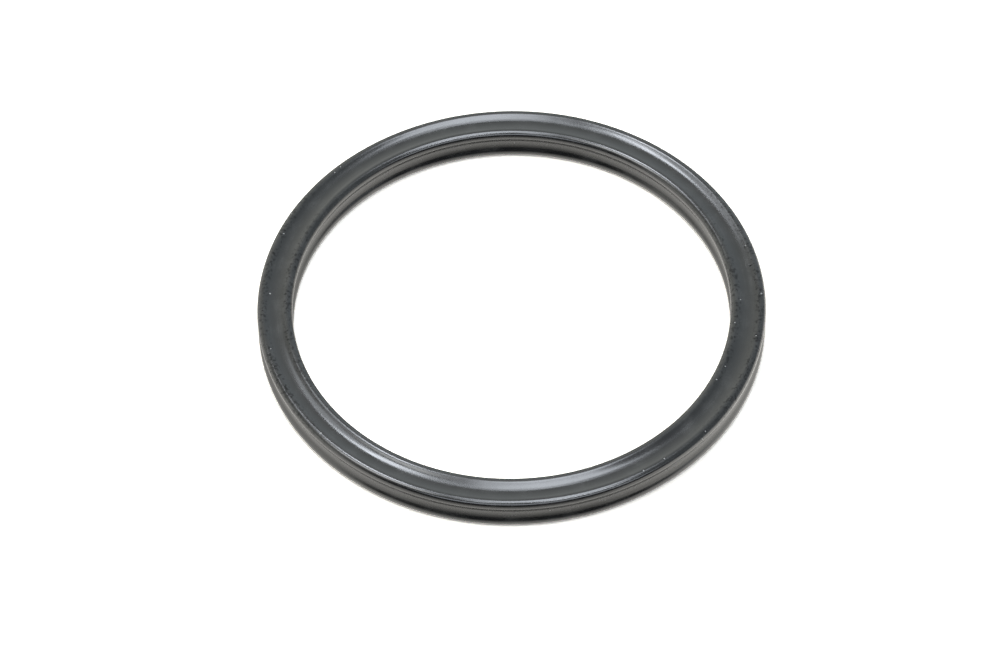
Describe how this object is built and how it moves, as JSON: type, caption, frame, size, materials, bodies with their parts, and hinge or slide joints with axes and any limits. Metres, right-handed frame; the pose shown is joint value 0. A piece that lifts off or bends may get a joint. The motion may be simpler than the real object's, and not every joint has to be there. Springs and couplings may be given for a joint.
{
  "type": "quad ring",
  "caption": "Black rubber quad ring, an X-ring seal: one moulded ring whose square section has a round lobe at each corner and a valley on each side, deeper inside and outside than on the flat faces.",
  "frame": {"origin": "middle of the ring, on its axis and halfway up its section", "axes": "+Z along the ring's axis, up as it lies flat; the ring is the same all round, so +X and +Y are any two directions across it"},
  "size_m": [0.0766, 0.0766, 0.0054],
  "materials": {
    "black_rubber": "satin moulded nitrile rubber with fine turning lines round the ring and a little dust"
  },
  "bodies": {
    "root": {"quad_ring": "black_rubber"}
  },
  "joints": []
}
